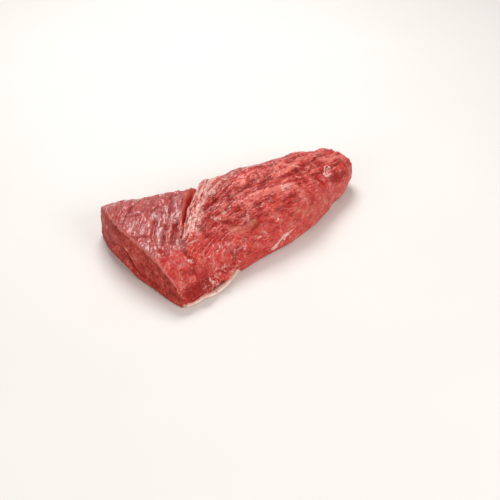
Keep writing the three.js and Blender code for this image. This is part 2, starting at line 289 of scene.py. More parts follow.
# Marks of the upper side: a name, the ends of a line in plan, half its width, how far it stands out, its
# tint and the strength of that
TOP_MARKS = (
    ("lip strand outer", (-86, -30), (-60, -8), 2, 0.8, "pale", 0.5),
    ("its upper part", (-60, -8), (-30, 14), 2.2, 0.8, "pale", 0.55),
    ("lip strand inner", (-74, -21), (-39, -3), 2.2, 0.8, "pale", 0.65),
    ("its upper part", (-39, -3), (-6, 11), 2.8, 0.7, "pale", 1),
    ("its far part", (-6, 11), (20, 22), 3.5, 0.3, "pale", 0.5),
    ("strand at the back", (-28, 14), (0, 26), 2.4, 0.5, "pale", 1.05),
    ("strand further in", (-25, 7), (4, 17), 1.8, 0.5, "pale", 0.95),
    ("strand over the back edge", (-30, 20), (-10, 34), 2.4, 0.4, "pale", 1),
    ("strand over the crown", (-40, -1), (-16, 7), 1.8, 0.7, "pale", 0.8),
    ("gap between strands", (-62, -8), (-38, 3), 1.4, -1, "deep", 0.8),
    ("fleck under the lip", (-51, 5), (-41, 13), 1.6, -0.6, "deep", 0.6),
    ("patch behind the lip", (-30, 0), (-20, 2), 2.8, 0.5, "pale", 0.9),
    ("patch on the crown", (-17, 1), (-7, 4), 4, 0.4, "tan", 0.9),
    ("band along the back", (-4, 17), (62, 11), 7.5, 0, "film", 1.05),
    ("spot of the rough top", (-50, -29), (-46, -33), 2.8, 1, "pale", 0.9),
    ("diagonal stripe", (-42, -30), (-24, -26), 1.6, 0.9, "pale", 0.7),
    ("second diagonal stripe", (-36, -21), (-20, -20), 1.3, 0.7, "pale", 0.5),
    # The bright tint of these ridges of the shoulder and crest is partly painted highlight
    ("ridge", (-26, -27), (-13, -36), 3.6, 1.6, "coral", 1.2),
    ("ridge of the shoulder", (-14, -31), (12, -35), 4.2, 1.6, "coral", 1.25),
    ("its far part", (12, -35), (36, -38), 4.2, 1.4, "coral", 1.1),
    ("end of the shoulder", (24, -36), (31, -38), 3, 0.7, "pale", 0.9),
    ("dash of the crest", (55, -14), (61, -16), 1.3, 0.6, "pale", 1),
    ("streak of the crest", (30, -14), (58, 4), 3.4, 1.4, "coral", 0.95),
    ("second streak of the crest", (46, -16), (76, -5), 3, 1.3, "coral", 0.9),
    ("spot of the crest", (49, -30), (51, -32), 1.8, 0.9, "coral", 1.3),
    ("bright top of the crown", (-4, -2), (26, -2), 5, 0.6, "coral", 0.8),
    ("patch of the corner", (-88, -44), (-81, -56), 4.5, 0.3, "coral", 0.6),
    ("all the corner", (-102, -50), (-84, -64), 9, 0, "deep", 0.45),
    ("crest", (30, -20), (60, -12), 4, 0.6, "coral", 1.05),
    ("top before the tail", (66, -6), (92, -2), 4.5, 0.5, "coral", 0.8),
    ("strand by the tail", (64, -28), (84, -24), 2.6, 0.8, "coral", 0.8),
    ("threads of the shoulder", (-8, -30), (30, -34), 3, 0, "pale", 0.5),
    ("groove of the shoulder", (-10, -23), (10, -27), 2.2, -1.4, "deep", 0.8),
    ("groove below the crest", (34, -24), (60, -20), 2.4, -1.2, "deep", 0.7),
    ("bump by the tail", (60, -24), (70, -20), 3.6, 1.2, "coral", 0.8),
    ("stroke by the lip", (-50, -14), (-32, -8), 2.4, -1.6, "deep", 1),
    ("stroke of the hollow", (-24, -16), (4, -10), 3, -1.8, "deep", 1),
    ("stroke across the hollow", (-22, -19), (-36, -27), 1.5, -1, "deep", 0.8),
    ("patch of the front slope", (-42, -37), (-36, -43), 3.4, -0.9, "deep", 0.9),
    ("hollow of the crown", (12, -20), (32, -16), 4.4, -1.9, "deep", 1.1),
    ("hollow beyond it", (2, -14), (14, -6), 3.4, -1, "deep", 0.9),
    ("hollow on the crown", (-10, -9), (4, -12), 3.4, -0.7, "deep", 0.7),
    ("patch above the corner", (-67, -29), (-64, -40), 4, -0.6, "deep", 0.8),
    ("groove below the cleft", (-85, -27), (-92, -42), 1.8, -1.6, "deep", 0.6),
    ("its lower part", (-92, -42), (-90, -58), 1.6, -1.2, "deep", 0.8),
    ("spot of the groove", (-95, -48), (-93, -53), 3, 0.5, "pale", 0.9),
    ("patch below the cleft", (-89, -29), (-91, -37), 3.4, 0.4, "film", 1),
    ("tag at the tip of the cleft", (-79, -13), (-81, -18), 1.1, 0.8, "pale", 1),
    ("bright spot", (-110, -27), (-111, -33), 2.4, -0.6, "blood", 1),
    ("streak of the film", (-97, -4), (-110, -29), 1.6, 1.4, "pale", 0.8),
    ("second streak", (-93, -14), (-104, -32), 1.2, 1, "pale", 0.7),
    ("third streak", (-84, -8), (-96, -25), 1.2, 1, "pale", 0.6),
    ("patch by the cleft", (-80, -3), (-68, 3), 3.4, 0.4, "film", 1),
    ("streak at the top", (-46, 38), (-66, 13), 1.3, 0.8, "pale", 0.8),
    ("streak below it", (-75, 3), (-86, -6), 1.5, 0.8, "pale", 0.7),
    ("furrow of the film", (-92, 6), (-112, -18), 2.2, -1.7, "blood", 0.75),
    ("streak beside it", (-92, -1), (-101, -15), 1.7, 1, "film", 1.7),
    ("its lower part", (-101, -15), (-108, -26), 1.5, 0.8, "film", 1.5),
    ("oval by the cleft", (-81, -9), (-85, -16), 2.2, -0.8, "blood", 0.9),
    ("patch of the film", (-90, 15), (-89, 7), 3.2, 0.3, "film", 1.2),
    ("web by the cleft", (-81, -2), (-77, -6), 2.2, 0.5, "pale", 0.8),
    ("patch by the cut", (-120, -17), (-118, -26), 3.4, 0.2, "film", 1.3),
    ("streak by the cleft", (-74, 18), (-81, 1), 1.7, 0.7, "film", 1.3),
    ("second streak", (-65, 14), (-71, 1), 1.5, 0.7, "film", 1.2),
    ("second furrow", (-87, -6), (-105, -27), 1.7, -1.7, "deep", 1),
    ("third furrow", (-80, -9), (-96, -28), 1.9, -1.7, "deep", 1),
    ("furrow at the top", (-56, 34), (-82, -1), 1.8, -1.5, "deep", 0.9),
    ("patch of the film", (-89, 18), (-77, 23), 3.2, -0.5, "deep", 0.7),
    ("patch at its back", (-95, 38), (-79, 41), 3.4, -0.4, "deep", 0.4),
    ("crease near the cut", (-100, 36), (-121, 19), 1.5, -1.5, "deep", 0.9),
    ("branch of the crease", (-113, 27), (-102, 20), 1, -1.2, "deep", 0.9),
    ("lower crease near the cut", (-124, -3), (-110, -10), 1.4, -1.4, "deep", 0.9),
    ("sheen of the end muscle", (-116, 14), (-109, 0), 8, 0, "film", 0.6),
    ("patch by the cut", (-119, -15), (-110, -16), 4, 0.2, "pale", 0.6),
    ("corner at the back", (-118, 52), (-96, 48), 7, 0, "film", 0.5),
    ("edge of the tail lobe", (84, -12), (108, -6), 1.6, -1.6, "deep", 1),
    ("lobe of the tail", (100, -15), (122, -12), 6.5, 1.4, "coral", 1.25),
    ("line by the tail curl", (94, -28), (116, -19), 1.6, -1.2, "deep", 0.9),
    ("patch by the tail curl", (91, -37), (104, -35), 3.8, -1, "deep", 1.1),
    ("its far part", (104, -35), (113, -30), 3, -0.5, "deep", 0.95),
    ("speckle of the tail", (100, -24), (116, -12), 5.5, 0, "deep", 0.6),
    ("spot below the tail curl", (74, -34), (76, -38.5), 2.3, -1.5, "blood", 1),
    ("crease before the tail curl", (69, -29), (82, -29), 1.6, -1.4, "deep", 1.1),
    ("crease by the tail curl", (94, -27), (98, -33), 1.4, -1.3, "deep", 1),
    ("lumps below the tail", (82, -39.5), (90, -39.5), 2.2, 0.9, "coral", 1),
    ("flesh inside the tail curl", (86, -31), (91, -27), 2.4, 0, "pale", 0.95),
    ("second limb of the tail curl", (93.5, -23.5), (96, -31), 1.2, 0, "pale", 1.4),
    ("top of the tail", (86, -4), (110, 3), 5.5, 0.6, "coral", 0.8),
    ("line along the crest", (28, -2), (60, -4), 3, 0.8, "coral", 0.9),
    ("its far part", (60, -4), (84, -10), 3, 0.8, "coral", 0.8),
    ("top of the tail", (78, 8), (104, 10), 6, 0.2, "film", 0.5),
)

# The same on the front side, as distance along the meat and height
SIDE_MARKS = (
    ("fat smear of the slope", (-19, 46), (-22, 41), 1.8, 0.4, "pale", 0.9),
    ("fat smear lower down", (-24, 28), (-15, 27), 1.4, 0.5, "pale", 0.8),
    ("its end", (-15, 27), (-12, 29), 1.4, 0.5, "pale", 0.8),
    ("spot of the slope", (4, 35), (6, 36), 1.9, 0.6, "pale", 1),
    ("flesh over the fat rim", (-112, 9.5), (-92, 9.5), 3.4, 2, "deep", 0),
    ("its middle part", (-90, 9.5), (-66, 10.5), 3.8, 3.8, "deep", 0),
    ("its far part", (-66, 10.5), (-56, 11), 3.4, 2.4, "deep", 0),
    # The dark line over the fat rim is painted shadow under the overhanging flesh
    ("line over the fat rim", (-108, 6), (-56, 6.5), 1.2, 0, "deep", 0.9),
    ("web over the fat rim", (-88, 12), (-62, 18), 6.5, 0, "pale", 0.55),
    ("its upper branch", (-62, 17), (-44, 28), 3, 0.3, "pale", 0.6),
    ("its lower branch", (-66, 11), (-46, 14), 2.4, 0.3, "pale", 0.7),
    ("its middle branch", (-76, 22), (-60, 18), 1.8, 0.3, "pale", 0.6),
    ("mottle of the slope", (-78, 30), (-52, 34), 6, 0, "pale", 0.45),
    ("smear above the notch", (-50, 28), (-38, 24), 1.6, 0.4, "pale", 0.7),
    ("branch of that smear", (-38, 24), (-34, 31), 1.5, 0.4, "pale", 0.7),
    ("smear beside the notch", (-50, 23), (-45, 21), 2.2, 0.3, "pale", 0.7),
    ("patch of the slope", (-27, 34), (-17, 38), 4, -0.8, "deep", 0.7),
    ("patch of the slope", (-46, 37), (-20, 41), 5, 0, "tan", 0.5),
    ("film towards the tail", (26, 37), (58, 22), 9, 0, "tan", 0.25),
    ("thin line of the slope", (-6, 19), (-34, 30), 1, -0.6, "deep", 0.6),
    ("strip over the sinew", (0, 28), (22, 34), 2.6, -0.6, "deep", 0.6),
    ("side under the tail curl", (88, 37), (101, 33), 5, -0.4, "deep", 0.95),
    ("its far part", (101, 33), (114, 28), 4.5, -0.3, "deep", 0.6),
    ("side of the tail", (70, 20), (118, 22), 12, 0, "film", 0.4),
    ("patch of the corner", (-104, 31), (-96, 27), 4, -0.5, "deep", 0.8),
    ("corner low down", (-108, 14), (-88, 15), 6.5, -0.4, "deep", 1.15),
    ("hollow beside the tag", (-93, 9), (-85, 6), 3, -0.5, "blood", 0.7),
    ("tag over the fat rim", (-83, 15), (-77, 6), 3.2, 0.7, "pale", 0.9),
    ("spot over the fat rim", (-90, 8), (-88, 6), 1.6, 0.6, "pale", 1),
    ("swirl of the far slope", (42, 47), (54, 46), 1.1, 0.6, "pale", 0.5),
    ("second swirl", (39, 40), (62, 42), 1.1, 0.6, "pale", 0.5),
)

# The same on the cut face, as distance across the meat and height
CUT_MARKS = (
    ("filled valley of the split", (23, 20), (3, 27), 3.4, 1.9, "deep", 0),
    ("its middle part", (3, 27), (-12, 15), 3.4, 1.7, "deep", 0),
    ("its front part", (-12, 15), (-45, 10), 3.4, 1.3, "deep", 0),
    ("split", (30, 16), (18, 22), 0.9, -0.8, "deep", 0.8),
    ("its upper part", (18, 22), (3, 24), 1, -0.8, "deep", 1),
    ("its turn", (3, 24), (-1, 17), 1, -0.9, "deep", 1),
    ("its middle part", (-1, 17), (-8, 13), 1, -1, "deep", 1),
    ("its lower part", (-8, 13), (-18, 9), 1, -1.1, "deep", 1),
    ("its front end", (-18, 9), (-38, 8), 0.9, -0.8, "blood", 0.7),
    ("faint seam at the back", (54, 17), (30, 22), 0.9, -0.5, "deep", 0.5),
    ("patch", (22, 37), (10, 34), 5, 0, "deep", 0.55),
    ("patch at the back", (44, 34), (34, 30), 4, 0, "deep", 0.5),
    ("back end", (60, 34), (57, 14), 6, 0, "film", 0.9),
    ("middle", (30, 24), (8, 30), 5, 0, "film", 0.35),
    # The darker foot at the back is painted shade near the floor
    ("foot at the back", (60, 6), (10, 5), 5, 0, "deep", 0.45),
    ("speck", (43, 26), (42, 26), 1.2, 0.3, "pale", 0.9),
    ("second speck", (3, 27), (1, 26), 1.1, 0.3, "pale", 0.9),
    ("fleck by the split", (-3, 22), (-7, 19), 0.9, 0.2, "pale", 0.6),
    ("lower lip of the split", (30, 8), (-40, 4), 4.5, 0.4, "coral", 0.15),
)
# Of these tints, deep is partly painted shade in creases and hollows, and the bright ridge tint partly
# painted highlight
TINTS = ("pale", "deep", "film", "coral", "tan", "blood")


# Fat rim and sinews. The points of a path lie along the meat, across it and at a height, with the half width
# there. Lean is in radians, and waviness is a share of the width
Strip = namedtuple("Strip", "name path thickness lean waviness")
FAT_RIM = Strip("fat_rim", (
    (-112, -73.5, 2.6, 3.4), (-101, -72.5, 3.0, 4.0), (-92, -70.5, 2.8, 4.2), (-84, -73, 3.2, 3.1),
    (-73, -72.2, 4.0, 3.0), (-62, -68.2, 3.7, 3.1), (-51, -62.4, 2.8, 3.6), (-42, -60.4, 2.2, 2.2),
), 1.8, 0.03, 0.15)
SIDE_SINEW = Strip("side_sinew", (
    (-8, -61.8, 8.8, 7.0), (-4, -61.8, 10.0, 4.8), (1, -61.4, 12.4, 2.2), (6, -61, 14.6, 0.7),
    (9, -60.8, 15.4, 3.8), (15, -60, 16.4, 2.4), (24, -57.8, 17.6, 0.6),
), 0.7, 0.9, 0.7)
TAIL_SINEW = Strip("tail_sinew", (
    (94, -22.5, 46.2, 0.6), (89.5, -25.5, 45.6, 1.1), (86, -28, 44.9, 0.7), (83.5, -31.5, 43.8, 1.0),
    (83.5, -34.5, 41.8, 2.0), (87.5, -34.5, 40.8, 2.5), (93, -33, 41.4, 1.4),
), 0.8, 0.0, 0.8)

# The flesh is drawn in under the strips by a depth, within a reach of a path, and fades over BED_EDGE of it
Bed = namedtuple("Bed", "path reach depth")
STRIP_BEDS = (
    Bed(((-111, -74, 3.0), (-101, -73, 3.4), (-92, -70.5, 2.8), (-84, -73, 3.6), (-73, -72, 4.2),
         (-62, -67.5, 3.5), (-50, -62, 2.8)), 5.6, 2.2),
    Bed(((-8, -60.5, 6.0), (2, -60.5, 8.5), (12, -58.8, 11), (22, -56.6, 13.8), (29, -54.4, 16)), 3.4, 0.7),
    Bed(((84, -33, 43), (92, -32, 43.5), (96, -26, 45), (93, -21.5, 46.5), (87, -20.5, 47)), 2.8, 0.7),
)
BED_EDGE = (0.75, 1.1)

# Mesh of a strip, and how its edge, its thickness and its lean waver along it
STRIP_COLUMNS = 20
STRIP_RINGS = 64
PATH_STEP = 0.01
EDGE_WAVES = 9
THICKNESS_WAVES = 14
THICKNESS_WAVER = 0.3
THICKNESS_SEED = 4.2
LEAN_WAVES = 5
LEAN_WAVER = 0.15
LEAN_SEED = 1.5

# How far a strip lies over its ground and stays over the floor, and its share of the way down to the ground
STRIP_SEAT = 0.25
STRIP_FOOT = 0.15
STRIP_FALL = 0.9


def smoothstep(value, low, high):
    """0 below low, 1 above high, and smooth from one to the other."""
    share = np.clip((value - low) / (high - low), 0, 1)
    return share * share * (3 - 2 * share)


def fade(value, low, high):
    """1 below low, 0 above high, and smooth from one to the other."""
    return 1 - smoothstep(value, low, high)


def noise_at(places, seed):
    """Smooth noise, from about -1 to 1, at places already divided by the size of a lump."""
    shift = Vector([seed * step for step in SEED_STEPS])
    return np.array([noise.noise(Vector(place) + shift) for place in places])


def line_share(places, start, end):
    """How far along the line from one place to another each place lies, from 0 to 1."""
    line = np.subtract(end, start)
    return np.clip((places - start) @ line / (line @ line), 0, 1)


def near_line(places, start, end):
    """Distance from each place to the line between two others."""
    nearest = start + line_share(places, start, end)[:, None] * np.subtract(end, start)
    return np.linalg.norm(places - nearest, axis=1)


def beside_path(places, path):
    """Signed distance in plan from a path: positive on its left as it runs."""
    best = np.full(len(places), np.inf)
    side = np.zeros(len(places))
    for start, end in zip(path, path[1:]):
        away = near_line(places, start, end)
        ahead = np.subtract(end, start)
        offset = places - start
        turn = np.sign(ahead[0] * offset[:, 1] - ahead[1] * offset[:, 0])
        closer = away < best
        best[closer] = away[closer]
        side[closer] = turn[closer]
    return best * side


def smooth(shape):
    """Moves each vertex part of the way to the middle of its neighbours."""
    bmesh.ops.smooth_vert(shape, verts=shape.verts, factor=SMOOTHING, use_axis_x=True, use_axis_y=True,
                          use_axis_z=True)


def as_object(name, shape):
    """The object of a bmesh, in the scene."""
    mesh = bpy.data.meshes.new(name)
    shape.to_mesh(mesh)
    shape.free()
    made = bpy.data.objects.new(name, mesh)
    bpy.context.scene.collection.objects.link(made)
    return made


def finished_piece(name, shape, finish):
    """The piece of a bmesh, facing outwards and riding on the body and finish."""
    bmesh.ops.recalc_face_normals(shape, faces=shape.faces)
    if shape.calc_volume(signed=True) < 0:
        bmesh.ops.reverse_faces(shape, faces=shape.faces)
    piece = as_object(name, shape)
    piece.data.materials.append(finish)
    piece.data.shade_smooth()
    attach(piece, "root")
    return piece


def even_mesh(shape):
    """The same shape with small and even faces, through a remesh."""
    blank = as_object("even", shape)
    remesh = blank.modifiers.new("even faces", "REMESH")
    remesh.mode = "VOXEL"
    remesh.voxel_size = FACE_PITCH / METRE
    graph = bpy.context.evaluated_depsgraph_get()
    even = bmesh.new()
    even.from_mesh(blank.evaluated_get(graph).to_mesh())
    bpy.data.objects.remove(blank)
    return even


class Surface:
    """The places of a mesh, in millimetres on the plan, their facings, and the zones that they lie in."""

    def __init__(self, shape):
        shape.normal_update()
        self.places = np.array([v.co for v in shape.verts]) * METRE + PLAN_MIDDLE
        self.facing = np.array([v.normal for v in shape.verts])
        self.plan = self.places[:, :2]
        self.from_edge = beside_path(self.plan, CLEFT_EDGE)
        self.from_lip = beside_path(self.plan, CLEFT_LIP)
        self.find_sides()
        self.wall = self.cleft_wall()
        self.fibre = self.fibre_places()
        self.lip_fibre, self.by_lip = self.lip_places()
        self.find_zones()
        self.lip_zone = self.lip_strands()
        self.dark_side = self.cleft_inside()

    def find_sides(self):
        """How much each place counts to each side, and to the end muscle."""
        x, y, z = self.places.T
        facing_x, facing_y, facing_z = self.facing.T
        self.cut = smoothstep(-facing_x, *CUT_FACING) * fade(x, *CUT_END)
        self.up = smoothstep(facing_z, *UP_FACING) * (1 - self.cut)
        self.front = smoothstep(-facing_y, *FRONT_FACING) * fade(y, *FRONT_BACK) * (1 - self.cut)
        self.under = smoothstep(-facing_z, *UNDER_FACING) * fade(z, *UNDER_TOP)
        self.end_muscle = smoothstep(-beside_path(self.plan, PARTING), *PARTING_BAND)

    def find_zones(self):
        """How much each place counts to each zone."""
        x, y, z = self.places.T
        behind = smoothstep(y + self.waver(*FILM_WAVER), *FILM_FRONT)
        self.film_zone = self.end_muscle * (1 - self.wall) * self.up * behind
        below = fade(z + self.waver(*SLOPE_WAVER), *SLOPE_TOP)
        self.slope = self.front * (SLOPE_LEAST + (1 - SLOPE_LEAST) * smoothstep(x, *SLOPE_START)) * below
        self.shoulder = smoothstep(x, *SHOULDER_START) * fade(y + self.waver(*SHOULDER_WAVER), *SHOULDER_BACK)
        corner = fade(x, *CORNER_END) * fade(y + self.waver(*CORNER_WAVER), *CORNER_BACK)
        self.calm_zone = np.maximum(self.slope, CORNER_CALM * corner * (1 - self.cut))
        self.sleek = smoothstep(y, *SLEEK_FRONT) * (1 - self.end_muscle) * fade(x, *SLEEK_END)

    def above_cleft_floor(self):
        """1 above the sloping floor of the cleft, 0 below it."""
        low, high = CLEFT_FLOOR_HEIGHTS
        share = line_share(self.plan, *CLEFT_FLOOR)
        return smoothstep(self.places[:, 2] - low - (high - low) * share, *CLEFT_EDGE_BAND)

    def cleft_wall(self):
        """The smooth wall of the end muscle that shows in the cleft."""
        x, y, _ = self.places.T
        inside = smoothstep(self.from_edge, *CLEFT_EDGE_BAND) * smoothstep(-self.from_lip, *WALL_LIP)
        near = fade(x, *WALL_END) * smoothstep(y, *WALL_TIP)
        return inside * near * self.above_cleft_floor() * self.end_muscle

    def cleft_inside(self):
        """The side of the cleft under the lip of the long muscle, which is painted dark as shade."""
        x = self.places[:, 0]
        near = fade(np.abs(self.from_lip), *SHADED_SIDE_REACH)
        near *= fade(x, *SHADED_SIDE_END) * smoothstep(x, *SHADED_SIDE_TIP)
        return near * self.above_cleft_floor() * fade(self.facing[:, 2], *SHADED_SIDE_FACING)

    def lip_strands(self):
        """The band of pale strands on the long muscle beside the cleft."""
        near = smoothstep(self.from_lip, *STRANDS_START)
        near *= fade(self.from_lip + self.waver(*LIP_WAVER), *STRANDS_REACH)
        return near * fade(self.places[:, 0], *STRANDS_END) * smoothstep(self.facing[:, 2], *STRANDS_FACING)

    def fibre_places(self):
        """Each place as a distance along its muscle's fibres, one across them, and a height."""
        x, y, z = self.places.T
        on_end = self.end_muscle > 0.5
        end_along = x * END_FIBRE[0] + y * END_FIBRE[1]
        end_across = y * END_FIBRE[0] - x * END_FIBRE[1]
        turned_back = TURN_SHARE * fade(y, *FRONT_TURN)
        turn = turned_back * np.exp(-np.maximum(x, TURN_LIMIT) / LONG_REACH)
        long_across = y - LONG_FALL * x + LONG_SWING * (np.exp(-x / LONG_REACH) - turn)
        waver = self.waver(*STRAND_WAVER) + self.waver(*FINE_WAVER)
        across = np.where(on_end, end_across, long_across) + waver
        return np.stack([np.where(on_end, end_along, x), across, z], axis=1)

    def lip_places(self):
        """The same for fibres that follow the lip of the cleft, and 1 where they do."""
        x, y, z = self.places.T
        near = fade(self.from_lip + self.waver(*LIP_WAVER), *LIP_BAND)
        along = x * LIP_FIBRE[0] + y * LIP_FIBRE[1]
        across = self.from_lip + self.waver(*LIP_STRAND_WAVER)
        return np.stack([along, across, z * LIP_DROP], axis=1), near * (1 - self.end_muscle)

    def grain(self, length, width, seed):
        """Noise drawn out along the fibres."""
        stretch = np.array([length, width, width])
        free = noise_at(self.fibre / stretch, seed)
        return free + (noise_at(self.lip_fibre / stretch, seed) - free) * self.by_lip

    def waver(self, reach, size, seed):
        """How far something is shifted to and fro at each place."""
        return reach * noise_at(self.places / size, seed)

    def warped_lumps(self, size, seed):
        """Noise whose lumps are pushed about, as in torn flesh."""
        push = [self.waver(WARP_REACH, size * WARP_SIZE, seed + more) for more in WARP_SEEDS]
        return noise_at(self.places / size + np.stack(push, axis=1), seed)


def mark_relief(surface, tints, marks, axes, where):
    """How far the marks of one side stand out. Their tints are added to those given."""
    wobble = np.stack([surface.waver(*waver) for waver in MARK_WAVERS], axis=1)
    flat = surface.places[:, axes] + wobble
    ragged = 1 + surface.waver(*MARK_RAGGED)
    out = np.zeros(len(flat))
    for _, start, end, width, rise, tint, amount in marks:
        share = np.exp(-((near_line(flat, start, end) / (width * ragged)) ** 2)) * where
        out += rise * share
        tints[tint] = np.maximum(tints[tint], amount * share)
    return out


def crests(values):
    """Sharp crests where smooth noise passes zero, from 0 to 1."""
    return np.clip(1 - np.abs(values) * CREST_GAIN, 0, 1) ** CREST_SHARPNESS


def flesh_relief(surface):
    """How far the flesh stands out from the plain form in millimetres, and its tints and crests."""
    film = surface.film_zone
    skin = (1 - np.maximum(surface.cut, surface.under)) * (1 - surface.wall)
    back = smoothstep(surface.facing[:, 1], *BACK_FACING)
    calm = (1 - SLOPE_CALM * surface.calm_zone) * (1 - BACK_CALM * back) * (1 - SLEEK_CALM * surface.sleek)
    torn = skin * calm * (1 - FILM_CALM * film)
    lively = skin * calm * (1 - SHOULDER_CALM * surface.shoulder)
    fold = crests(surface.grain(*FOLDS))
    stroke = crests(surface.grain(*STROKES))
    crag = surface.warped_lumps(*CRAGS) * torn
    strand = crests(surface.grain(*LIP_STRANDS)) * surface.lip_zone
    out = (fold - 0.5) * (FOLD_RISE + FOLD_RISE_TORN * torn + FOLD_RISE_FILM * film) * lively
    out += (stroke - 0.5) * (STROKE_RISE - STROKE_LOSS_FILM * film) * lively
    out += CRAG_RISE * crag
    out += LIP_STRAND_RISE * strand
    out += FINE_STROKE_RISE * surface.grain(*FINE_STROKES) * skin * calm
    out += (surface.waver(*GRIT) + surface.waver(*SOFT_LUMPS)) * skin
    out += surface.waver(*WALL_LUMPS) * surface.wall
    out += (surface.waver(*CUT_GRIT) + surface.waver(*CUT_LUMPS)) * surface.cut
    painted = {tint: np.zeros(len(out)) for tint in TINTS}
    out += mark_relief(surface, painted, TOP_MARKS, [0, 1], surface.up * (1 - surface.wall))
    out += mark_relief(surface, painted, SIDE_MARKS, [0, 2], surface.front)
    out += mark_relief(surface, painted, CUT_MARKS, [1, 2], surface.cut)
    painted.update(fold=fold * skin, stroke=stroke * skin, crag=crag, strand=strand)
    return out * smoothstep(surface.places[:, 2], *RELIEF_FOOT), painted


def strip_beds(surface):
    """How far the flesh is drawn in under the strips, and 1 where that is along the fat rim."""
    sink = np.zeros(len(surface.places))
    shares = []
    for bed in STRIP_BEDS:
        away = np.min([near_line(surface.places, *ends) for ends in zip(bed.path, bed.path[1:])], axis=0)
        share = fade(away / bed.reach, *BED_EDGE)
        shares.append(share)
        sink = np.maximum(sink, bed.depth * share)
    return sink, shares[0]


def rim_highlight_of_cut(surface):
    """The bright band under the upper edge of the cut face, a painted highlight along that edge."""
    x, y, z = surface.places.T
    column = (y - y.min()).astype(int)
    edge = np.zeros(column.max() + 1)
    on_cut = surface.cut > 0.5
    np.maximum.at(edge, column[on_cut], z[on_cut])
    depth = edge[column] - z + surface.waver(*RIM_WAVER)
    facing = smoothstep(-surface.facing[:, 0], *RIM_FACING) * fade(x, *CUT_END)
    return fade(depth, *RIM_DEPTH) * facing * smoothstep(z, *RIM_FOOT)


def wall_share(surface):
    """How much painted shade the cleft's wall gets: 0 at its edge, 1 where it is darkest, deep under the lip.
    """
    from_edge = np.maximum(surface.from_edge, 0)
    from_lip = np.maximum(-surface.from_lip, 0)
    share = from_edge / np.maximum(from_edge + from_lip, WALL_LEAST_WIDTH)
    return share * (1 - WALL_PALER * smoothstep(surface.places[:, 0], *WALL_PALER_START))


def thin_fat(surface, on_rim):
    """Thin patchy fat over the underside and the foot of the back, and the fat under the fat rim."""
    z = surface.places[:, 2]
    patchy = FAT_COVER + surface.waver(*FAT_PATCHES) + surface.waver(*FAT_FLECKS)
    back = smoothstep(surface.facing[:, 1], *FAT_FOOT_FACING) * fade(z, *FAT_BACK_TOP) * FAT_BACK_SHARE
    film = np.clip(patchy, 0, 1) * np.maximum(surface.under, back)
    return np.maximum(film, on_rim * fade(z, *FAT_UNDER_RIM_TOP))


def make_flesh():
    shape = bmesh.new()
    shape.from_mesh(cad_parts["beef_tri_tip"].data)
    bmesh.ops.remove_doubles(shape, verts=shape.verts, dist=WELD / METRE)
    shape = even_mesh(shape)
    for _ in range(SMOOTH_PASSES):
        smooth(shape)
    surface = Surface(shape)
    out, painted = flesh_relief(surface)
    sink, on_rim = strip_beds(surface)
    out = out * (1 - np.clip(sink, 0, 1)) - sink
    room = CEILING - surface.places[:, 2]
    out = np.minimum(out, room / np.maximum(surface.facing[:, 2], LEAST_UPWARD))
    for vert, way, rise in zip(shape.verts, surface.facing, out):
        vert.co += Vector(way) * (rise / METRE)
    along, across, _ = np.where(surface.by_lip > 0.5, surface.lip_fibre.T, surface.fibre.T)
    painted.update(cut=surface.cut, rim=rim_highlight_of_cut(surface), fat=thin_fat(surface, on_rim),
                   wall=surface.wall, wall_share=wall_share(surface), dark_side=surface.dark_side,
                   film_zone=surface.film_zone, lip_zone=surface.lip_zone,
                   slope=surface.slope, calm=surface.calm_zone, fibre_along=along, fibre_across=across)
    piece = finished_piece("tri_tip_flesh", shape, flesh_finish())
    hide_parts("beef_tri_tip")
    for name, values in painted.items():
        attribute = piece.data.attributes.new(name, "FLOAT", "POINT")
        attribute.data.foreach_set("value", np.asarray(values, np.float32))
    return piece


def path_point(path, share):
    """A point of the smooth path through points, at a share of the way."""
    place = min(max(share, 0.0), 1.0) * (len(path) - 1)
    step = min(int(place), len(path) - 2)
    before, start, end, after = [Vector(path[min(max(step + k, 0), len(path) - 1)]) for k in (-1, 0, 1, 2)]
    t = place - step
    return 0.5 * ((2 * start) + (end - before) * t + (2 * before - 5 * start + 4 * end - after) * t * t
                  + (3 * start - before - 3 * end + after) * t * t * t)


def strip_point(strip, corner):
    """Where a corner of a ball of radius 1 lies on a strip: its place, the way out, and its lift."""
    share = (corner.z + 1) / 2
    point = path_point(strip.path, share)
    ahead = path_point(strip.path, share + PATH_STEP).xyz - path_point(strip.path, share - PATH_STEP).xyz
    sideways = Vector((-ahead.y, ahead.x, 0)).normalized()
    upward = ahead.normalized().cross(sideways)
    wave = 1 + strip.waviness * noise.noise(Vector((share * EDGE_WAVES, corner.x, point.z)))
    uneven = 1 + THICKNESS_WAVER * noise.noise(Vector((share * THICKNESS_WAVES, corner.y, THICKNESS_SEED)))
    turn = strip.lean + LEAN_WAVER * noise.noise(Vector((share * LEAN_WAVES, LEAN_SEED, point.w)))
    across = sideways * math.cos(turn) + upward * math.sin(turn)
    outward = upward * math.cos(turn) - sideways * math.sin(turn)
    place = (point.xyz + across * (corner.x * point.w * wave) - Vector(PLAN_MIDDLE)) / METRE
    return place, outward, corner.y * strip.thickness * uneven


def make_strip(strip, finish, ground=None):
    """A thin wavy strip with pointed ends, laid onto the ground if there is one."""
    shape = bmesh.new()
    bmesh.ops.create_uvsphere(shape, u_segments=STRIP_COLUMNS, v_segments=STRIP_RINGS, radius=1)
    for vert in shape.verts:
        place, outward, lift = strip_point(strip, vert.co)
        if ground:
            below, outward, _, _ = ground.find_nearest(place)
            place = place.lerp(below, STRIP_FALL)
            lift += STRIP_SEAT
        vert.co = place + outward * (lift / METRE)
        vert.co.z = max(vert.co.z, STRIP_FOOT / METRE)
    if ground:
        smooth(shape)
    return finished_piece(strip.name, shape, finish)


# Sockets of the node that mixes colours, and the gain that brings the noise of a node to about -1 to 1
MIX_FIRST = 6
MIX_SECOND = 7
MIX_RESULT = 2
NOISE_GAIN = 3.2


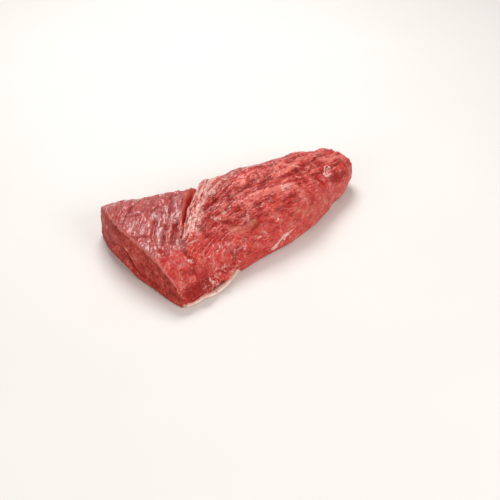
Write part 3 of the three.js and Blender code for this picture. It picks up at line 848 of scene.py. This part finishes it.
def linear_light(code):
    """The colour of a code as linear light, with its alpha."""
    parts = [int(code[k:k + 2], 16) / 255 for k in (1, 3, 5)]
    return (*[p / 12.92 if p <= 0.04045 else ((p + 0.055) / 1.055) ** 2.4 for p in parts], 1.0)


class Signal:
    """A socket of a material, for sums and products in plain Python."""

    def __init__(self, finish, socket):
        self.finish = finish
        self.socket = socket

    def math(self, operation, *operands):
        return self.finish.node("ShaderNodeMath", {"operation": operation}, dict(enumerate(operands)))

    def __add__(self, other):
        return self.math("ADD", self, other)

    def __sub__(self, other):
        return self.math("SUBTRACT", self, other)

    def __rsub__(self, other):
        return self.math("SUBTRACT", other, self)

    def __mul__(self, other):
        return self.math("MULTIPLY", self, other)

    def __abs__(self):
        return self.math("ABSOLUTE", self)

    __radd__ = __add__
    __rmul__ = __mul__

    def between(self, low, high):
        """0 below low, 1 above high, and smooth from one to the other."""
        settings = {"interpolation_type": "SMOOTHSTEP"}
        return self.finish.node("ShaderNodeMapRange", settings, {0: self, 1: low, 2: high})


class Finish:
    """A material under way."""

    def __init__(self, name):
        self.material = bpy.data.materials.new(name)
        self.material.use_nodes = True
        self.tree = self.material.node_tree
        self.tree.nodes.clear()
        self.object_place = self.node("ShaderNodeTexCoord", output="Object")
        self.readers = {}

    def node(self, kind, settings=None, inputs=None, output=0):
        """Adds a node: its settings first, then the values or links of its sockets."""
        made = self.tree.nodes.new(kind)
        for key, value in (settings or {}).items():
            setattr(made, key, value)
        for key, value in (inputs or {}).items():
            if isinstance(value, Signal):
                self.tree.links.new(value.socket, made.inputs[key])
            else:
                made.inputs[key].default_value = value
        return Signal(self, made.outputs[output]) if made.outputs else None

    def coated(self, colour, *coats):
        """A colour under coats of others, each given with its share."""
        for coat, share in coats:
            layers = {key: linear_light(value) if isinstance(value, str) else value
                      for key, value in ((MIX_FIRST, colour), (MIX_SECOND, coat))}
            settings = {"data_type": "RGBA", "clamp_factor": True}
            colour = self.node("ShaderNodeMix", settings, {0: share, **layers}, MIX_RESULT)
        return colour

    def painted(self, name):
        """What is painted on the mesh under a name."""
        if name not in self.readers:
            self.readers[name] = self.node("ShaderNodeAttribute", {"attribute_name": name}, output="Fac")
        return self.readers[name]

    def noise(self, place, scale, detail, roughness):
        inputs = {"Vector": place, "Scale": scale, "Detail": detail, "Roughness": roughness}
        return self.node("ShaderNodeTexNoise", inputs=inputs)

    def even_noise(self, size, detail, roughness):
        return self.noise(self.object_place, METRE / size, detail, roughness)

    def bumps(self, rise, strength, height):
        """The normal of a surface with bumps of a height in millimetres."""
        inputs = {"Strength": strength, "Distance": height / METRE, "Height": rise}
        return self.node("ShaderNodeBump", inputs=inputs, output="Normal")

    def done(self, varied, gloss):
        """The material, of what varies over the surface and what doesn't."""
        shader = self.node("ShaderNodeBsdfPrincipled", inputs={**varied, **gloss})
        self.node("ShaderNodeOutputMaterial", inputs={"Surface": shader})
        return self.material


class FleshFinish(Finish):
    """The finish of the flesh. Its coats share textures and what is painted on the mesh."""

    def __init__(self):
        super().__init__("raw beef")
        self.height = self.node("ShaderNodeSeparateXYZ", inputs={0: self.object_place}, output="Z") * METRE
        self.textures = {name: self.along_fibres(*sizes) for name, sizes in FIBRE_TEXTURES.items()}
        self.textures.update({name: self.spots(*sizes) for name, sizes in EVEN_TEXTURES.items()})
        self.textures.update({name: self.painted(name) - 0.5 for name in ("fold", "stroke")})
        self.lively = 1 - self.painted("calm") * SLOPE_CALM

    def along_fibres(self, length, width, detail, shift):
        """Noise drawn out along the fibres, from about -1 to 1."""
        along = self.painted("fibre_along") * (1 / length) + shift
        across = self.painted("fibre_across") * (1 / width)
        place = self.node("ShaderNodeCombineXYZ", inputs={0: along, 1: across, 2: self.height * (1 / width)})
        return (self.noise(place, 1, detail, FIBRE_ROUGHNESS) - 0.5) * NOISE_GAIN

    def spots(self, size, detail):
        """Even noise, from about -1 to 1."""
        return (self.even_noise(size, detail, EVEN_ROUGHNESS) - 0.5) * NOISE_GAIN

    def part(self, name):
        """A texture, or what is painted on the mesh under a name; folds and strokes lie around 0."""
        return self.textures[name] if name in self.textures else self.painted(name)

    def blend(self, **shares):
        """The sum of textures and of what is painted on the mesh, each times its share."""
        return sum(self.part(name) * share for name, share in shares.items())

    def muscle(self):
        """Red muscle, dark between its strands and pink on them; along the folds and strokes this is partly
        painted shade in hollows and painted highlight on crests.
        """
        broad = self.blend(strands=0.45, flecks=0.15, patches=0.45, fold=0.6, stroke=0.6, crag=0.5)
        fine = self.blend(threads=0.4, specks=0.3, mottle=0.35)
        depth = broad * self.lively * 0.85 + fine * (0.35 + self.lively * 0.65)
        depth = depth + self.blend(blotches=0.3, calm=-0.05)
        return ((FLESH_RED, depth.between(-0.45, 0.0)),
                (DEEP_RED_AND_SHADE, (0 - depth).between(0.35, 0.8) * self.lively * 0.7),
                (FLESH_PINK, depth.between(0.1, 0.7) * (1 - self.part("slope") * 0.4)))

    def pale_flecks(self):
        """Pale hairs and veins, and painted glints and a tan on the slope."""
        hairs = (1 - abs(self.part("hairs")) * 3.5).between(0.2, 0.95)
        veins = (1 - abs(self.part("veins")) * 3.4).between(0.35, 1.0)
        glints = self.part("glints").between(0.3, 0.95) * self.part("calm")
        tan = self.blend(tan=1, slope=0.4, patches=0.4, mottle=0.15)
        return ((PALE_PINK_AND_GLINT, hairs * self.part("patches").between(0.0, 0.8) * 0.45),
                (PALE_PINK_AND_GLINT, veins * self.part("blotches").between(-0.3, 0.5) * 0.22),
                (PALE_PINK_AND_GLINT, glints * 0.55),
                (SLOPE_TAN, tan.between(0.35, 1.1) * 0.6))

    def films(self):
        """The silvery film of the end muscle, whose white is partly a painted sheen, the strands of the lip,
        and painted glints on both.
        """
        film = self.blend(film_zone=0.65, film=0.6, strands=0.3, stroke=0.25, flecks=0.2)
        sheen = self.blend(film_zone=0.3, film=0.5, streaks=0.55, threads=0.35, mottle=0.5, stroke=0.3)
        lip = self.blend(lip_zone=0.3, strand=0.8, threads=0.65, mottle=0.4)
        both = self.blend(film_zone=1, lip_zone=1).between(0.2, 1.0)
        # The white of the film is partly a painted sheen, and the small white specks are painted glints
        return ((FILM_PINK, film.between(0.15, 0.95) * 0.75),
                (FILM_WHITE_AND_HIGHLIGHT, sheen.between(0.55, 1.1) * 0.75),
                (LIP_PINK, lip.between(0.35, 1.0) * 0.9),
                (FILM_WHITE_AND_HIGHLIGHT, self.part("painted_glints").between(0.4, 0.9) * both * 0.7))

    def marks(self):
        """The marks that are painted on the mesh, with ragged edges."""
        # The deep tint is partly the flesh's own deep red and partly painted shade in creases, furrows and
        # hollows and low down by the floor
        deep = self.blend(deep=1, strands=0.3, flecks=0.5, specks=0.4)
        # The bright ridge tint is partly the flesh's own bright red and partly painted highlight on ridges
        # and tops
        coral = self.blend(coral=0.8, strands=0.4, mottle=0.5, stroke=0.4)
        pale = self.blend(pale=0.75, threads=0.5, flecks=0.3, mottle=0.5)
        return ((DEEP_RED_AND_SHADE, deep.between(0.25, 0.9) * 0.75),
                (CORAL_AND_HIGHLIGHT, coral.between(0.25, 1.0) * 0.8),
                (BLOOD, self.part("blood").between(0.25, 0.8) * 0.8),
                (PALE_PINK_AND_GLINT, pale.between(0.35, 1.0) * 0.8))

    def shade(self):
        """Dark streaks between the films and between the strands of the lip."""
        dark = self.blend(film_zone=0.4, lip_zone=0.4, streaks=-0.4, threads=0.3, mottle=-0.4, flecks=0.4)
        return ((FILM_SHADE, dark.between(0.5, 1.0) * 0.8),)

    def cleft(self):
        """The smooth red wall of the cleft, painted lighter at its edge and darker deeper in as light and
        shade, and the painted shade of the side across from it.
        """
        sunk = (WALL_TOP - self.height).between(0.0, WALL_FADE)
        depth = sunk * 0.2 + self.blend(wall_share=1, patches=0.1, threads=0.08)
        wall = self.coated(WALL_LIT, (WALL_RED, depth.between(0.1, 0.55)),
                           (WALL_SHADE, depth.between(0.5, 0.9)))
        return (wall, self.part("wall")), (WALL_SHADE, self.part("dark_side"))

    def cut_face(self):
        """The matt grain of the cut face, and the pink band along its upper edge, a painted highlight."""
        depth = self.blend(pores=0.4, specks=0.45, flecks=0.8, patches=0.75, blotches=0.35)
        face = self.coated(CUT_DARK,
                           (CUT_BROWN, depth.between(-0.6, 0.0)),
                           (CUT_PALE, depth.between(0.15, 0.75) * 0.75),
                           (FILM_PINK, self.blend(film=0.7, flecks=0.21)),
                           (DEEP_RED_AND_SHADE, self.part("deep") * 0.85),
                           (BLOOD, self.part("blood") * 0.6),
                           (PALE_PINK_AND_GLINT, self.part("pale") * 0.8))
        rim = self.blend(rim=1, flecks=0.4, pores=0.4)
        return (face, self.part("cut")), (RIM_HIGHLIGHT_PINK, rim.between(0.3, 1.1) * 0.7)

    def thin_fat(self):
        """Thin fat over the underside, the foot of the back and under the fat rim."""
        fat = self.blend(fat=1, patches=0.15, mottle=0.15, threads=0.15)
        return ((self.coated(FAT_PINK, (FAT_CREAM, fat.between(0.4, 1.0))), fat.between(0.2, 0.7) * 0.8),)

    def wetness(self):
        """Roughness, coat and bumps: matt on the cut face and in the cleft, wettest on the film."""
        inside = self.blend(wall=1, dark_side=1).between(0.0, 1.0)
        roughness = 0.42 + self.blend(specks=0.08, cut=0.15) + inside * 0.35
        coat = 0.45 + self.blend(film_zone=0.2, calm=-0.25, deep=-0.3, cut=-0.4) - inside * 0.45
        rise = self.blend(threads=0.5, specks=0.6, flecks=0.5)
        rise = rise * (1 - self.part("wall") * 0.8) * (0.3 + self.lively * 0.7)
        return {"Roughness": roughness, "Coat Weight": coat, "Normal": self.bumps(rise, *FLESH_BUMPS)}


def flesh_finish():
    finish = FleshFinish()
    colour = finish.coated(DARK_RED, *finish.muscle(), *finish.pale_flecks(), *finish.films(),
                           *finish.marks(), *finish.shade(), *finish.cleft(), *finish.cut_face(),
                           *finish.thin_fat())
    return finish.done({"Base Color": colour, **finish.wetness()}, FLESH_GLOSS)


def fat_finish():
    finish = Finish("beef fat and sinew")
    blotches = finish.even_noise(*FAT_BLOTCHES)
    specks = finish.even_noise(*STRIP_SPECKS)
    threads = finish.even_noise(*FAT_THREADS)
    colour = finish.coated(FAT_PINK, (FAT_CREAM, (blotches * 0.7 + specks * 0.4).between(0.35, 0.6)),
                           (FAT_WHITE, threads.between(0.5, 0.75) * 0.7))
    normal = finish.bumps(threads * 0.6 + specks * 0.4, *FAT_BUMPS)
    return finish.done({"Base Color": colour, "Roughness": 0.32 + specks * 0.2, "Normal": normal}, FAT_GLOSS)


def sinew_finish():
    finish = Finish("sinew")
    threads = finish.even_noise(*SINEW_THREADS)
    specks = finish.even_noise(*STRIP_SPECKS)
    colour = finish.coated(SINEW_PINK, (SINEW_WHITE, (threads * 0.7 + specks * 0.4).between(0.42, 0.68)))
    normal = finish.bumps(threads, *SINEW_BUMPS)
    return finish.done({"Base Color": colour, "Roughness": 0.3 + specks * 0.2, "Normal": normal}, SINEW_GLOSS)


def floor_finish():
    finish = Finish("pale floor")
    colour = finish.coated(FLOOR_SHADE, (FLOOR_WHITE, finish.even_noise(*FLOOR_MOTTLE)))
    return finish.done({"Base Color": colour}, FLOOR_GLOSS)


def make_floor():
    shape = bmesh.new()
    bmesh.ops.create_grid(shape, x_segments=FLOOR_SEGMENTS, y_segments=FLOOR_SEGMENTS, size=FLOOR_SIZE / 2)
    bmesh.ops.translate(shape, verts=shape.verts, vec=(0, 0, -FLOOR_DROP))
    floor = as_object("floor", shape)
    floor.data.materials.append(floor_finish())


def aimed(name, data, place, target):
    """The object of a light or a camera at a place, turned towards a target."""
    made = bpy.data.objects.new(name, data)
    made.location = place
    made.rotation_euler = (Vector(target) - Vector(place)).to_track_quat("-Z", "Y").to_euler()
    bpy.context.scene.collection.objects.link(made)
    return made


def make_softbox(softbox):
    light = bpy.data.lights.new(softbox.name, "AREA")
    light.shape = "DISK"
    light.size = softbox.size
    light.energy = softbox.power
    aimed(softbox.name, light, softbox.place, LIGHT_TARGET)


def make_stage():
    make_floor()
    for softbox in SOFTBOXES:
        make_softbox(softbox)
    world = bpy.data.worlds.new("studio")
    world.use_nodes = True
    background = world.node_tree.nodes["Background"]
    background.inputs["Color"].default_value = (1, 1, 1, 1)
    background.inputs["Strength"].default_value = ROOM_LIGHT
    bpy.context.scene.world = world
    bpy.context.scene.view_settings.view_transform = "Standard"


def make_camera():
    lens = bpy.data.cameras.new("camera")
    lens.lens = CAMERA_LENS
    lens.sensor_width = CAMERA_SENSOR
    lens.sensor_fit = "HORIZONTAL"
    lens.clip_start = CAMERA_NEAREST
    bpy.context.scene.camera = aimed("camera", lens, CAMERA_PLACE, CAMERA_TARGET)


make_camera()
make_stage()
flesh = make_flesh()
flesh_surface = BVHTree.FromObject(flesh, bpy.context.evaluated_depsgraph_get())
make_strip(FAT_RIM, fat_finish())
sinew = sinew_finish()
make_strip(SIDE_SINEW, sinew, flesh_surface)
make_strip(TAIL_SINEW, sinew, flesh_surface)
